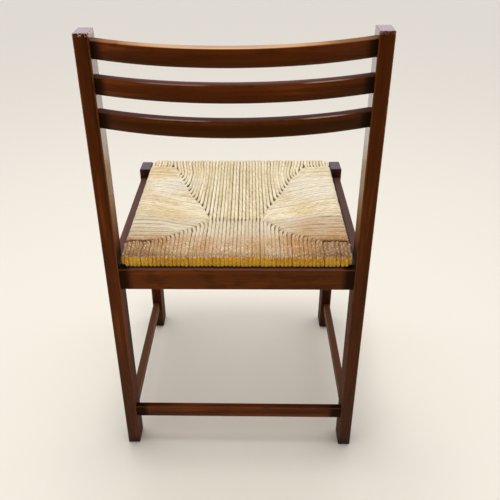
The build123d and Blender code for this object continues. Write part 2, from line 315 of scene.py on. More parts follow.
def rubbed(wood, colour):
    """Takes some stain off the rounded rear edges, in patches."""
    return (wood.rear_edge.step(0.1, 0.45) * wood.patchy * 0.4).mix(colour, RUBBED)


# %% [markdown]
# ### Wear and painted light on the slats, the rear rail and the rear stretcher
# Hands have rubbed the middle of the top slat down to bare wood, under a painted highlight. The slats
# get painted shade towards their bottoms, the lower ones dust with a painted sheen on top and painted
# glints along an edge, and painted shade gathers beside the posts. It could be painted by hand, but
# masks worked out from a point's place and the way its face looks can be read and changed.

# %% Marks on slats and rails
RAKE = math.radians(2.86)
BACK_FOOT = 0.1739  # Y of the posts' rear faces at the floor
LOWER_SLAT, SLAT_PITCH, SLAT_HEIGHT = 0.6676, 0.049, 0.026  # along the slope of the back
# Heights from which or up to which a mark goes
ON_LOWEST_SLAT, ON_STRETCHER = (0.708, 0.700), (0.30, 0.25)
ON_RAIL, ON_RAIL_TOP = ((0.375, 0.38), (0.43, 0.425)), ((0.41, 0.42), (0.44, 0.43))
# dust with a painted purplish sheen, for the tops of the rear rail and the lower slats
SHEEN_AND_DUST = (0.17, 0.09, 0.10, 1)


def shaded_slats(wood, colour):
    """Painted shade low on each slat and painted light higher up; the lowest is darkest, more so on the
    right.
    """
    up_back = (wood.y - BACK_FOOT) * math.sin(RAKE) + wood.z * math.cos(RAKE) - LOWER_SLAT
    up_slat = (up_back / SLAT_PITCH).apply("FRACT") * (SLAT_PITCH / SLAT_HEIGHT)
    lowest = wood.on_slat * wood.z.step(*ON_LOWEST_SLAT)
    return layered(
        colour,
        (wood.on_slat * up_slat.step(0.55, 0.0) * 0.5, DARK),
        (lowest * (0.6 + 0.28 * wood.x.step(0.06, -0.12)), DARK),
        (wood.on_slat * up_slat.step(0.6, 0.95) * wood.patchy * 0.3, LIGHT))


def marked_rails(wood, colour):
    """Darker stretcher; rails with painted light, a mottle, and dust with painted sheen on top."""
    on_rail = wood.z.span(*ON_RAIL)
    mottled = wood.place.scaled(30.0, 60.0, 75.0).noise(1.0, 3.0).step(0.46, 0.66)
    rail_tops = wood.upward.step(0.8, 0.97) * wood.z.span(*ON_RAIL_TOP)
    return layered(
        colour, (wood.z.step(*ON_STRETCHER) * 0.25, DARK), (on_rail * 0.3, LIGHT),
        (on_rail * mottled * 0.55, DARK), (rail_tops * 0.6, SHEEN_AND_DUST))


# %% Dust, painted sheen and glints, and wear by hands under a painted highlight
# also the colour of the painted glints on the lower slats' rear edges
CHIPS_AND_GLINTS = (0.62, 0.40, 0.31, 1)  # bright where varnish and stain are gone
RIGHT_GLINT, LEFT_GLINT = ((-0.085, -0.11), (-0.165, -0.135)), ((0.025, 0.05), (0.14, 0.10))
LEFT_GLINT_SHARE = 0.65
# the top slat's edge rubbed bare under a painted highlight, and its flat top dulled under a painted
# sheen
BARE_AND_HIGHLIT, WORN_TOP_AND_SHEEN = (0.88, 0.53, 0.24, 1), (0.44, 0.28, 0.19, 1)
HANDS_REACH, HANDS_SHIFT = (0.035, 0.175), 0.02  # from the middle, and less on the right


def dust_sheen_and_glints(wood, colour):
    """Dust and painted sheen on lower slats' tops, and painted glints on two stretches of an edge."""
    glint = wood.x.span(*RIGHT_GLINT) + wood.x.span(*LEFT_GLINT) * LEFT_GLINT_SHARE
    return layered(
        colour, (wood.on_slat * wood.upward.step(0.75, 0.97) * 0.45, SHEEN_AND_DUST),
        (glint * wood.rear_edge.step(0.2, 0.4) * wood.on_slat, CHIPS_AND_GLINTS))


def hand_wear_and_highlight(wood, colour):
    """The top slat's edge rubbed bare in the middle, with a painted highlight and sheen on its top."""
    from_middle = wood.x.apply("ABSOLUTE") + HANDS_SHIFT * wood.x.step(0.0, -0.1)
    fade = (1.0 - 0.92 * from_middle.step(*HANDS_REACH)) * (0.7 + 0.3 * wood.patchy)
    return layered(
        colour, (wood.upward.step(0.03, 0.35) * fade, RUBBED),
        (wood.upward.step(0.3, 0.75) * fade, BARE_AND_HIGHLIT),
        (wood.upward.step(0.86, 0.99) * fade, WORN_TOP_AND_SHEEN))


# %% All wear and painted shade across
# the colour of painted shade: beside the posts, in the nooks by the seat and on inner faces
SHADE_DARK = (0.006, 0.002, 0.0015, 1)
BESIDE_POSTS = (0.168, 0.184)  # distances from the middle over which painted shade sets in
LEVEL = (0.7, 0.97)  # how far up a face looks that counts as a top


def across_wear_and_shade(wood, colour):
    """Wear and painted shade on pieces that run across, and where they are dull."""
    colour = marked_rails(wood, shaded_slats(wood, colour))
    shade_by_posts = wood.x.apply("ABSOLUTE").step(*BESIDE_POSTS)
    colour = rubbed(wood, (shade_by_posts * 0.92).mix(colour, SHADE_DARK))
    colour = hand_wear_and_highlight(wood, colour) if wood.worn_and_highlit else dust_sheen_and_glints(wood, colour)
    return colour, wood.upward.step(*LEVEL).apply("MAXIMUM", shade_by_posts)


# %% [markdown]
# ### Wear and painted light on the side rails and side stretchers
# Their tops are dull with dust and a painted purplish sheen, and their inner faces carry painted shade.
# The low stretchers' tops are paler and redder with painted light, and their inner faces carry a painted
# reflection of the floor, so height chooses between two colours.

# %% All wear, painted shade and painted light on the sides
ON_SIDE_STRETCHER = (0.30, 0.20)  # heights below which a piece is a stretcher
# tops: dust with a painted sheen on the rails, and paler with painted light on the stretchers
DUST_AND_SHEEN_TOP, LIT_LOW_TOP = (0.080, 0.038, 0.040, 1), (0.112, 0.040, 0.020, 1)
# a painted reflection of the floor on the stretchers' inner faces
FLOOR_REFLECTION_LOW = (0.125, 0.048, 0.016, 1)


def deep_wear_and_shade(wood, colour):
    """Wear and painted light and shade on pieces running front to back, and where they are dull."""
    low = wood.z.step(*ON_SIDE_STRETCHER)
    top = wood.upward.step(*LEVEL)
    shaded = wood.outwards.step(-0.5, -0.9)
    colour = layered(
        rubbed(wood, colour),
        (top * 0.75, low.mix(DUST_AND_SHEEN_TOP, LIT_LOW_TOP)), (shaded * 0.95, low.mix(SHADE_DARK, FLOOR_REFLECTION_LOW)))
    return colour, top.apply("MAXIMUM", shaded)


# %% [markdown]
# ### Wear and painted light on the posts and front legs
# The posts end in grey end grain under a painted sheen, with chipped rims, the legs darken towards the
# floor, and painted shade sits in the nooks beside the seat. Above them a painted reflection lightens
# the inner faces. The same kind of mask makes all this, with its heights named, so that each mark can
# be found and moved.

# %% Marks on the ends and edges of posts and legs
POST_END, POST_RIM = (0.790, 0.797), (0.7945, 0.7975)  # heights at the posts' tops
LEG_END_FROM, NICKED_FROM = (0.390, 0.408), (0.45, 0.7)
FOOT, NEAR_FOOT = (0.024, 0.010), (0.25, 0.02)
# grey end grain under a painted sheen on the posts' tops, and the front legs' dark ends
END_GRAIN_SHEEN, LEG_END = (0.30, 0.25, 0.28, 1), (0.055, 0.042, 0.060, 1)
DARKER_ENDS = (0.022, 0.008, 0.009, 1)


def darkened_ends(wood, colour, end_grain, on_leg):
    """Painted sheen on the posts' end grain, legs darker towards the floor, and the front legs' dark
    ends.
    """
    darker_low = wood.z.step(*FOOT) * 0.5 + wood.z.step(*NEAR_FOOT) * 0.45
    leg_top = on_leg * wood.z.step(*LEG_END_FROM)
    return layered(
        colour, (end_grain * 0.8, END_GRAIN_SHEEN), (darker_low, DARKER_ENDS), (leg_top * 0.8, DARKER_ENDS),
        (leg_top * wood.upward.step(0.8, 0.97) * 0.8, LEG_END))


def chipped(wood, colour, end_grain):
    """Nicks along the posts' outer rear edges and chips round their tops, more on the left."""
    outer_edge = wood.outwards.apply("MINIMUM", wood.rearward).step(0.25, 0.5)
    nicks = outer_edge * wood.place.noise(240.0, 2.0).step(0.53, 0.64) * wood.z.step(*NICKED_FROM)
    chips = wood.z.step(*POST_RIM) * wood.place.noise(330.0, 3.0, 0.7).step(0.47, 0.56)
    chips = chips * (0.35 + 0.65 * wood.x.step(-0.1, 0.1))
    return layered(colour, (nicks * 0.45, CHIPS_AND_GLINTS), (chips * (1.0 - end_grain), CHIPS_AND_GLINTS))


# %% All wear, painted shade and painted reflection on posts and legs
ON_LEG = (-0.18, -0.20)  # Y of the front legs
# heights of the painted reflection on the inner faces, and of the painted shade in the nooks by the seat
INNER_REFLECTING, NOOK = ((0.44, 0.52), (0.72, 0.60)), ((0.385, 0.40), (0.475, 0.445))
DULL_BELOW = (0.58, 0.46)  # heights on the inner faces
INNER_REFLECTION = (0.30, 0.135, 0.045, 1)


def inner_face(wood):
    """Faces that look towards the middle of the chair."""
    return wood.outwards.step(-0.8, -0.95)


def upright_wear_and_shade(wood, colour):
    """Wear, painted shade and a painted reflection on posts and legs, and where they are dull."""
    inner = inner_face(wood)
    nook = inner * wood.z.span(*NOOK)
    on_leg = wood.y.step(*ON_LEG)
    end_grain = wood.upward.step(0.9, 0.97) * wood.z.step(*POST_END)
    colour = layered(
        rubbed(wood, colour), (wood.x.step(0.1, -0.1) * 0.25 + on_leg * 0.25, DARK),
        (inner * wood.z.span(*INNER_REFLECTING) * 0.4, INNER_REFLECTION), (nook * 0.9, SHADE_DARK))
    colour = chipped(wood, darkened_ends(wood, colour, end_grain, on_leg), end_grain)
    return colour, nook.apply("MAXIMUM", inner * wood.z.step(*DULL_BELOW))


# %% [markdown]
# ### Varnish
# Old varnish has a warm satin shine, made dull by dust and wherever shade is painted. High on the posts'
# inner faces it still gleams. A clear coat could lie over everything, but the shader's own reflection,
# tinted, does for most of it, and the coat is kept for those inner faces.

# %% Stain, wear, painted light and varnish together
WEAR_AND_SHADE = (across_wear_and_shade, deep_wear_and_shade, upright_wear_and_shade)
DULL_ROUGHNESS = (0.9, 0.6, 0.7)  # for each grain
VARNISH_IOR, VARNISH_TINT = 1.3, (1.0, 0.55, 0.10, 1)
GLEAM_FROM = (0.57, 0.68)  # heights on the posts' inner faces
GLEAM_ROUGHNESS, GLEAM_IOR = 0.10, 1.7


def stained_wood(name, grain, worn_and_highlit=False):
    """The finish of pieces whose grain runs along one axis."""
    material, start, sockets = new_material(name)
    wood = wood_fields(start, grain, worn_and_highlit)
    colour, dull = WEAR_AND_SHADE[grain](wood, stained(wood))
    join(colour, sockets["Base Color"])
    roughness = 0.16 + 0.14 * wood.clouds + 0.12 * (1.0 - wood.fine)
    join(roughness + dull * (DULL_ROUGHNESS[grain] - roughness), sockets["Roughness"])
    if grain == UPRIGHT:
        join(inner_face(wood) * wood.z.step(*GLEAM_FROM), sockets["Coat Weight"])
        sockets["Coat Roughness"].default_value = GLEAM_ROUGHNESS
        sockets["Coat IOR"].default_value = GLEAM_IOR
    bump(wood.streaks * 0.3 + wood.fine * 0.7, 0.12, 0.0004, sockets)
    sockets["IOR"].default_value = VARNISH_IOR
    sockets["Specular Tint"].default_value = VARNISH_TINT
    print(name, "has", len(material.node_tree.nodes), "nodes")
    return material


# %% Stained wood on the frame
GRAINS = {"rear_post": UPRIGHT, "front_leg": UPRIGHT, "rear_rail": ACROSS, "front_rail": ACROSS,
          "rear_stretcher": ACROSS, "side_rail": DEEP, "side_stretcher": DEEP}
wood_along = [stained_wood("stained_wood_across", ACROSS), stained_wood("stained_wood_deep", DEEP),
              stained_wood("stained_wood_upright", UPRIGHT)]
for node_name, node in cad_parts.items():
    for start_of_name, grain in GRAINS.items():
        if node_name.startswith(start_of_name) and "dowels" not in node_name:
            finish_node(node, wood_along[grain])
            print("stained wood on", node_name)

# %% [markdown]
# ## Bare wood
# The seat's own bars and all dowels are pale, unvarnished beech that nobody sees. One plain colour would
# do, but a few flecks cost little.

# %% Bare wood
BEECH_DARK, BEECH_PALE = (0.42, 0.27, 0.14, 1), (0.6, 0.43, 0.25, 1)

beech, start, sockets = new_material("bare_wood")
place = object_place(start)
flecks = place.scaled(160.0, 160.0, 420.0).noise(1.0, 3.0)
tone = flecks * 0.6 + place.noise(14.0, 2.0) * 0.4
join(tone.step(0.3, 0.7).mix(BEECH_DARK, BEECH_PALE), sockets["Base Color"])
join(0.55 + 0.2 * flecks, sockets["Roughness"])
bump(flecks, 0.2, 0.0003, sockets)
for node_name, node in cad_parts.items():
    if "dowels" in node_name or node_name.startswith("seat_bar"):
        finish_node(node, beech)
        print("bare wood on", node_name)

# %% [markdown]
# ## Bowed slats
# Each slat of the back is bent to a shallow bow and its edges are rounded over, the upper ones more.
# In CAD each round is a few flats. A Bevel modifier could smooth a copy, but sweeping the same section
# along the same bow gives fine, clean rounds, so that light runs along them as on the real slats.


# %% Helpers for Geometry Nodes
def new_tree(name, inputs):
    """A geometry tree with named inputs, and those inputs and its geometry as fields."""
    tree = bpy.data.node_groups.new(name, "GeometryNodeTree")
    tree.interface.new_socket("Geometry", in_out="INPUT", socket_type="NodeSocketGeometry")
    for label, kind in inputs.items():
        tree.interface.new_socket(label, in_out="INPUT", socket_type="NodeSocket" + kind)
    tree.interface.new_socket("Geometry", in_out="OUTPUT", socket_type="NodeSocketGeometry")
    entry = tree.nodes.new("NodeGroupInput")
    given = {socket.name: Field(tree, socket) for socket in entry.outputs if socket.name}
    return tree, given


def close_tree(field, material):
    """Realizes what a tree made, gives it its material and links it to the tree's output."""
    field = field.node("GeometryNodeRealizeInstances", {}, {"Geometry": field})
    field = field.node("GeometryNodeSetMaterial", {}, {"Geometry": field, "Material": material})
    leave = field.tree.nodes.new("NodeGroupOutput")
    field.tree.links.new(field.socket, leave.inputs["Geometry"])
    print(field.tree.name, "has", len(field.tree.nodes), "nodes")


def grown(name, data, tree, values):
    """Runs a geometry tree on an object with this data and gives its result as a plain mesh object."""
    seed = placed(name + "_seed", data)
    modifier = seed.modifiers.new("grow", "NODES")
    modifier.node_group = tree
    for socket in tree.interface.items_tree:
        if socket.in_out == "INPUT" and socket.name in values:
            modifier[socket.identifier] = values[socket.name]
    bpy.context.view_layer.update()
    evaluated = seed.evaluated_get(bpy.context.evaluated_depsgraph_get())
    mesh = bpy.data.meshes.new_from_object(evaluated)
    mesh.name = name
    seed.modifiers.remove(modifier)
    bpy.data.objects.remove(seed)
    return placed(name, mesh)


# %% Geometry tree for a bowed slat
BOW_POINTS, ROUND_POINTS = 97, 8
slat_sizes = ("Radius", "Sweep", "Thickness", "Height", "Top Round", "Bottom Round", "Lean")

slat_tree, given = new_tree("bowed_slat", {
    **{size: "Float" for size in slat_sizes}, "Place": "Vector", "Material": "Material"})
start = Field(slat_tree)
bow_line = start.node("GeometryNodeCurveArc", {"mode": "RADIUS"}, {
    "Resolution": BOW_POINTS, "Radius": given["Radius"] - given["Thickness"] * 0.5,
    "Start Angle": math.pi / 2 - given["Sweep"] * 0.5, "Sweep Angle": given["Sweep"]})
bow_line = start.node("GeometryNodeSetCurveNormal", {"mode": "Z_UP"}, {"Curve": bow_line})
section = start.node("GeometryNodeCurvePrimitiveQuadrilateral", {"mode": "RECTANGLE"}, {
    "Width": given["Thickness"], "Height": given["Height"]})
upper = start.node("GeometryNodeInputPosition").split()[1].step(-0.001, 0.001)
round_size = given["Bottom Round"] + upper * (given["Top Round"] - given["Bottom Round"])
section = start.node("GeometryNodeFilletCurve", {"mode": "POLY"}, {
    "Curve": section, "Count": ROUND_POINTS, "Radius": round_size})
swept = start.node("GeometryNodeCurveToMesh", {}, {
    "Curve": bow_line, "Profile Curve": section, "Fill Caps": True})
swept = start.node("GeometryNodeTransform", {}, {
    "Geometry": swept, "Translation": given["Place"], "Rotation": start.vector(given["Lean"])})
close_tree(swept, given["Material"])

# %% Three slats
SLAT_THICKNESS, SLAT_SET_IN, TOP_ROUND, BOTTOM_ROUND = 0.015, 0.004, 0.005, 0.002
TOP_SLAT = LOWER_SLAT + 2 * SLAT_PITCH
SLAT_BOWS = {"top_slat": 0.046, "middle_slat": 0.039, "lower_slat": 0.039}
POST_LENGTH = 0.801
POST_OUTER, POST_DRAWN_IN = 0.2223, 0.0115  # from the middle at the floor, and nearer at the top
POST_WIDTH, POST_TAPER = 0.0235, 0.0017  # at the floor, and narrower at the top
top_slat_wood = stained_wood("stained_wood_top_slat", ACROSS, worn_and_highlit=True)


def post_inner(distance):
    """Centre line of the chair to a post's inner face, at a distance up the slope."""
    share = distance / POST_LENGTH
    return (POST_OUTER - POST_DRAWN_IN * share) - (POST_WIDTH - POST_TAPER * share)


for level, (slat_name, bow) in enumerate(SLAT_BOWS.items()):
    middle = TOP_SLAT - level * SLAT_PITCH + SLAT_HEIGHT / 2
    radius = (post_inner(middle) ** 2 + bow ** 2) / (2 * bow)
    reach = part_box(slat_name)[1][0]
    depth = bow - radius - SLAT_SET_IN
    centre = (0, BACK_FOOT + depth * math.cos(RAKE) + middle * math.sin(RAKE),
              middle * math.cos(RAKE) - depth * math.sin(RAKE))
    slat = grown(slat_name + "_rounded", bpy.data.meshes.new("empty"), slat_tree, {
        "Radius": radius, "Sweep": 2 * math.asin(reach / radius), "Thickness": SLAT_THICKNESS,
        "Height": SLAT_HEIGHT, "Top Round": TOP_ROUND, "Bottom Round": BOTTOM_ROUND, "Lean": -RAKE,
        "Place": centre, "Material": wood_along[ACROSS] if level else top_slat_wood})
    slat.data.shade_smooth()
    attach(slat, "frame")
    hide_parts(slat_name)
    print(slat_name, "bowed by", bow, "m, with", len(slat.data.polygons), "faces")

# %% [markdown]
# ## Rush
# Rush is wound wet: stalks are twisted into a cord that goes over a bar, under it, up through the
# middle and over the next bar. The cords from neighbouring bars meet in mitre lines, and behind the
# middle the front and rear cords meet in a short ridge. Bump on a plain pad could hint at cords, but
# their edges show, so each one is made, along a path worked out from the seat's edges, its worn hollow
# and those mitre lines.

# %% Shape of the seat
seat_low, seat_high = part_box("rush_weave")
SEAT_FRONT, SEAT_REAR = seat_low[1], seat_high[1]
SEAT_BOTTOM, SEAT_TOP = seat_low[2], seat_high[2]
HALF_FRONT, HALF_REAR = 0.194, 0.1896  # half of the seat's width at its ends
DIP, DIP_RADIUS, DIP_Y = 0.015, 0.160, -0.0091  # the hollow's depth, reach and middle
DIP_BALL = (DIP_RADIUS ** 2 + DIP ** 2) / (2 * DIP)


def half_width(y):
    return HALF_FRONT + (HALF_REAR - HALF_FRONT) * (y - SEAT_FRONT) / (SEAT_REAR - SEAT_FRONT)


def seat_surface(x, y):
    """Height of the worn top at a point."""
    away = x * x + (y - DIP_Y) ** 2
    if away > DIP_RADIUS ** 2:
        return SEAT_TOP
    return SEAT_TOP - (math.sqrt(DIP_BALL ** 2 - away) - (DIP_BALL - DIP))


print("seat from", round(SEAT_FRONT, 4), "to", round(SEAT_REAR, 4), "and", round(SEAT_TOP, 4), "high")

# %% Mitre lines
RIDGE_Y = 0.036
RIDGE_ENDS = {"front": RIDGE_Y - 0.003, "rear": RIDGE_Y + 0.002}  # where cords dive at the ridge
# Where front and rear cords end, as (x, y) from the ridge out to the strips over each corner
MITRES = {
    "front_left": [(0.054, 0.034), (0.069, -0.015), (0.094, -0.058), (0.121, -0.130), (0.141, -0.190)],
    "front_right": [(0.048, 0.034), (0.052, 0.0), (0.081, -0.062), (0.104, -0.115), (0.139, -0.188)],
    "rear_left": [(0.052, 0.038), (0.071, 0.066), (0.106, 0.115), (0.146, 0.1385)],
    "rear_right": [(0.045, 0.038), (0.066, 0.064), (0.087, 0.106), (0.145, 0.139)],
}


def between(points, value, known):
    """Reads a line of (x, y) points: the other coordinate where the known one (0 or 1) has a value."""
    for first, second in zip(points, points[1:]):
        low, high = sorted((first[known], second[known]))
        if low <= value <= high:
            share = (value - first[known]) / (second[known] - first[known])
            return first[1 - known] + share * (second[1 - known] - first[1 - known])
    ends = (points[0], points[-1])
    return min(ends, key=lambda end: abs(end[known] - value))[1 - known]


def mitre_y(x, end):
    """How far a front or rear cord runs towards the middle."""
    line = MITRES[end + ("_left" if x > 0 else "_right")]
    if abs(x) < line[0][0]:
        return RIDGE_ENDS[end]
    return between(line, abs(x), 0)


print("mitre lines:", ", ".join(MITRES))

# %% [markdown]
# ### Path of a cord
# A cord comes up out of the middle, lies over the worn top, turns round the edge and goes back
# underneath. It could be a Bezier curve drawn by hand, but worked-out points follow the hollow and the
# edges exactly.

# %% Path of one cord
CORD_THICKNESS, LOW_ROUND = 0.0055, 0.003  # the lower edge's round is that of a cord's centre
HALF_CORD = CORD_THICKNESS / 2
TOP_TURN_POINTS, LOW_TURN_POINTS = 6, 5
# How far past its mitre a cord is, and how far it has dropped there
DIVE = ((0.005, -0.0085), (0.003, -0.0055), (0.0, -0.0022), (-0.004, -0.0005))
LEVEL_FROM, TOP_STEP = 0.008, 0.007  # out from the mitre, and between points on top
UNDER_FROM, UNDER_STEP = 0.006, 0.02  # in from the edge, and between points underneath
SAG, SAG_REACH, END_RISE = 0.004, 0.2, 0.004


def spaced(first, last, count):
    """Values at even steps from the first to the last."""
    return [first + (last - first) * number / (count - 1) for number in range(count)]


def edge_profile(top_round):
    """Inward distance and height of a cord's centre round an edge, from the top to the underside."""
    turn = top_round - HALF_CORD
    for angle in spaced(0.0, math.pi / 2, TOP_TURN_POINTS):
        yield top_round - turn * math.sin(angle), SEAT_TOP - top_round + turn * math.cos(angle)
    for angle in spaced(0.0, math.pi / 2, LOW_TURN_POINTS):
        inward, above = LOW_ROUND * (1 - math.cos(angle)), LOW_ROUND * (1 - math.sin(angle))
        yield HALF_CORD + inward, SEAT_BOTTOM + HALF_CORD + above


def cord_path(place, depth, lift, top_round, tuck=0.0):
    """Points of one cord: up out of the middle, over the top, round the edge and back underneath.

    place(d) gives the (x, y) at a distance d in from the edge, and depth is where the cord dives. The
    top is raised by lift and the underside by tuck.
    """
    points = []
    for beyond, drop in DIVE:
        x, y = place(depth + beyond)
        points.append((x, y, seat_surface(x, y) - HALF_CORD + drop + lift))
    runs = max(2, round((depth - LEVEL_FROM - top_round) / TOP_STEP))
    for distance in spaced(depth - LEVEL_FROM, top_round, runs + 1)[:-1]:
        x, y = place(distance)
        points.append((x, y, seat_surface(x, y) - HALF_CORD + lift))
    for distance, z in edge_profile(top_round):
        x, y = place(distance)
        low_share = (SEAT_TOP - z) / (SEAT_TOP - SEAT_BOTTOM)
        points.append((x, y, z + lift * (1 - low_share) + tuck * low_share))
    runs = max(2, round((depth - 2 * UNDER_FROM) / UNDER_STEP))
    inwards = spaced(UNDER_FROM, depth, runs + 1)[1:]
    for distance in inwards:
        x, y = place(distance)
        sag = SAG * math.sin(math.pi * min(1.0, distance / SAG_REACH))
        rise = END_RISE if distance == inwards[-1] else 0
        points.append((x, y, SEAT_BOTTOM + HALF_CORD + tuck - sag + rise))
    return points


# %% [markdown]
# ### Cords over the front and rear bars
# The hollow draws the front cords towards the middle and lets them out again before the mitre, and the
# outermost cords drop at the corners. Evenly spaced paths would look like a machine's work, so a little
# chance moves each one, from a fixed seed that gives the same winding every time.

# %% Helpers for the winding
draw = random.Random(7)
EDGE_RUN = 0.01  # a cord leaves the edge straight for this far
# The swerve as a share of x0, and where and over what distance from the middle it sets in
SWERVE, SWERVE_FROM, SWERVE_OVER = 0.085, 0.03, 0.07
DRAWN_IN_OVER, LET_OUT_FROM, LET_OUT_OVER, LET_OUT = 0.075, 0.085, 0.12, 1.2


def limited(share):
    return max(0.0, min(1.0, share))


def smooth(share):
    share = limited(share)
    return share * share * (3 - 2 * share)


def swerve(x0, distance):
    """How far the hollow draws a front cord towards the middle, and back out before the mitre."""
    strength = SWERVE * limited((abs(x0) - SWERVE_FROM) / SWERVE_OVER)
    drawn_in = smooth((distance - EDGE_RUN) / DRAWN_IN_OVER)
    let_out = LET_OUT * smooth((distance - LET_OUT_FROM) / LET_OUT_OVER)
    return -strength * x0 * (drawn_in - let_out)


def rounded_off(reach, limit, radius):
    """How far a corner of this radius falls back at a reach, when it ends at a limit."""
    past = max(0.0, reach - (limit - radius))
    return radius - math.sqrt(radius ** 2 - past ** 2)


def walked_in(met, depth, deepest, step):
    """Walks inwards from the edge to the depth at which a cord has met its mitre line."""
    while depth < deepest and not met(depth):
        depth += step
    return depth


# %% Paths over the front and rear bars
CORNER_ROUND, REAR_ROUND = 0.014, 0.011  # at the front and rear corners, from above
END_ROUND = 0.009  # over the front and rear edges
SHOULDER, TUCK_BELOW = 0.013, 0.8  # how the outermost cords drop at the corners, and rise below
HOOK, HOOK_REACH, HOOK_FROM = 0.005, 0.02, 0.05  # how a cord bends outwards into its mitre
FLARE, PINCH, PINCH_FROM = 0.15, -0.2, 0.14  # cords part on their way in; at the rear corners they close
END_SHIFT, END_LIFT, END_DEPTH = (-0.0005, 0.0005), (-0.0005, 0.0003), (-0.0012, 0.0012)  # chance
END_WALK = (0.010, 0.3, 0.0005)  # from where, how far and in what steps the mitre is looked for
ENDS = {
    "front": SimpleNamespace(sign=-1, edge=SEAT_FRONT, corner=CORNER_ROUND, inset=0.0055, raised=0.0),
    "rear": SimpleNamespace(sign=1, edge=SEAT_REAR, corner=REAR_ROUND, inset=0.0032, raised=0.0008),
}


def end_cord(end, x0):
    """Path of one front or rear cord that goes over its edge at x0."""
    bar = ENDS[end]
    y0 = bar.edge - bar.sign * rounded_off(abs(x0), half_width(bar.edge), bar.corner)
    tuck = rounded_off(abs(x0), half_width(bar.edge), SHOULDER)
    lift = draw.uniform(*END_LIFT) - tuck + bar.raised
    spread = FLARE if end == "front" or abs(x0) < PINCH_FROM else PINCH
    hook = math.copysign(HOOK, x0) if abs(x0) > HOOK_FROM else 0.0

    def straight(distance):
        x = x0 * (1 + spread * max(0.0, distance - EDGE_RUN))
        return x + (swerve(x0, distance) if end == "front" else 0.0), y0 - bar.sign * distance

    def met(distance):
        x, y = straight(distance)
        return bar.sign * (mitre_y(x, end) - y) >= 0.0

    depth = walked_in(met, *END_WALK) + draw.uniform(*END_DEPTH)

    def place(distance):
        near = max(0.0, 1.0 - max(0.0, depth - distance) / HOOK_REACH)
        x, y = straight(distance)
        return x + hook * near * near, y

    return cord_path(place, depth, lift, END_ROUND, tuck * TUCK_BELOW)


def end_cords(end, count):
    """Front or rear cords, which run from front to back."""
    widest = half_width(ENDS[end].edge) - ENDS[end].inset
    return [end_cord(end, x0 + draw.uniform(*END_SHIFT)) for x0 in spaced(-widest, widest, count)]


# %% [markdown]
# ### Cords over the side bars
# These run across the seat in pairs and drift rearward on their way in. Each ends where it meets the
# mitre line, which is found, as for the others, by walking inwards in small steps. That is simpler than
# solving for the point where two lines cross.

# %% Paths over the side bars
SIDE_ROUND = 0.0065  # over the sides
SIDE_FIRST, SIDE_LAST = -0.186, 0.131  # Y of the outermost cords
PAIR_SHIFT = 0.0004
DRIFT, DRIFT_UP_TO = 0.16, 0.14  # a share of the run inwards, and the Y at which it is gone
SIDE_SHIFT, SIDE_LIFT = (-0.0008, 0.0008), (-0.0003, 0.0006)  # chance
SIDE_WALK = (0.02, 0.17, 0.001)


def side_cord(side, y0):
    """Path of one cord that goes over a side's edge at y0."""
    sign = 1 if side == "left" else -1
    drift = DRIFT * limited((DRIFT_UP_TO - y0) / DRIFT_UP_TO)

    def place(distance):
        y = y0 + drift * max(0.0, distance - EDGE_RUN)
        return sign * (half_width(y) - distance), y

    def met(distance):
        x, y = place(distance)
        line = MITRES[("front_" if y < RIDGE_Y else "rear_") + side]
        return abs(x) <= between(line, y, 1)

    return cord_path(place, walked_in(met, *SIDE_WALK), draw.uniform(*SIDE_LIFT), SIDE_ROUND)


def side_cords(side, count):
    """Cords over a side bar, which run across the seat in pairs."""
    paths = []
    for number, y0 in enumerate(spaced(SIDE_FIRST, SIDE_LAST, count)):
        pair = -PAIR_SHIFT if number % 2 else PAIR_SHIFT
        paths.append(side_cord(side, y0 + pair + draw.uniform(*SIDE_SHIFT)))
    return paths


# %% [markdown]
# ### From paths to cords
# Bevelled curves would give smooth, even tubes. A Geometry Nodes tree sweeps an oval along each path and
# presses a twist into it, so that strands lie slantwise as in a hand-twisted cord. It also stores, for
# the material, where a point is along the cord, round it and on the twist, and a shade for each cord.

# %% Helpers for the cord tree
cord_sizes = ("Width", "Thickness", "Step", "Thin End", "Uneven", "Turns", "Twist Depth", "Wander",
              "Notch", "Bulge")
cord_tree, given = new_tree("twisted_cords", {
    **{size: "Float" for size in cord_sizes}, "Seed": "Int", "Material": "Material"})
start = Field(cord_tree)


def stored(geometry, name, value, kind="FLOAT"):
    """Keeps a field on the points of a geometry under a name."""
    return geometry.node("GeometryNodeStoreNamedAttribute", {"data_type": kind, "domain": "POINT"}, {
        "Geometry": geometry, "Name": name, "Value": value})


def read(name, kind="FLOAT"):
    return start.node("GeometryNodeInputNamedAttribute", {"data_type": kind}, {"Name": name})


def vector_math(operation, sockets):
    return start.node("ShaderNodeVectorMath", {"operation": operation}, sockets)


print("cords take", ", ".join(cord_sizes))

# %% Cord paths with a wandering line and an uneven thickness
THIN_OVER = (0.030, 0.010)  # distances along a cord from its dive
BULGE_OVER = (0.150, 0.175)  # Y, towards the rear edge

curve = start.node("GeometryNodeResampleCurve", {"mode": "LENGTH"}, {
    "Curve": given["Geometry"], "Length": given["Step"]})
along = start.node("GeometryNodeSplineParameter", {}, {}, "Length")
cord_number = start.node("GeometryNodeFieldOnDomain", {"data_type": "INT", "domain": "CURVE"}, {
    0: start.node("GeometryNodeInputIndex")})
shade = start.node("FunctionNodeRandomValue", {"data_type": "FLOAT"}, {
    "ID": cord_number, "Seed": given["Seed"]}, 1)
place = start.node("GeometryNodeInputPosition")
wander = start.node("ShaderNodeTexNoise", {}, {
    "Vector": place, "Scale": 70.0, "Detail": 1.0}, "Color")
wander = vector_math("SUBTRACT", {0: wander, 1: (0.5, 0.5, 0.5)})
wander = vector_math("SCALE", {0: wander, "Scale": given["Wander"]})
curve = start.node("GeometryNodeSetPosition", {}, {"Geometry": curve, "Offset": wander})
uneven = (place.noise(130.0, 1.0) - 0.5) * given["Uneven"]
bulge = place.split()[1].step(*BULGE_OVER) * given["Bulge"] * (0.5 + shade)
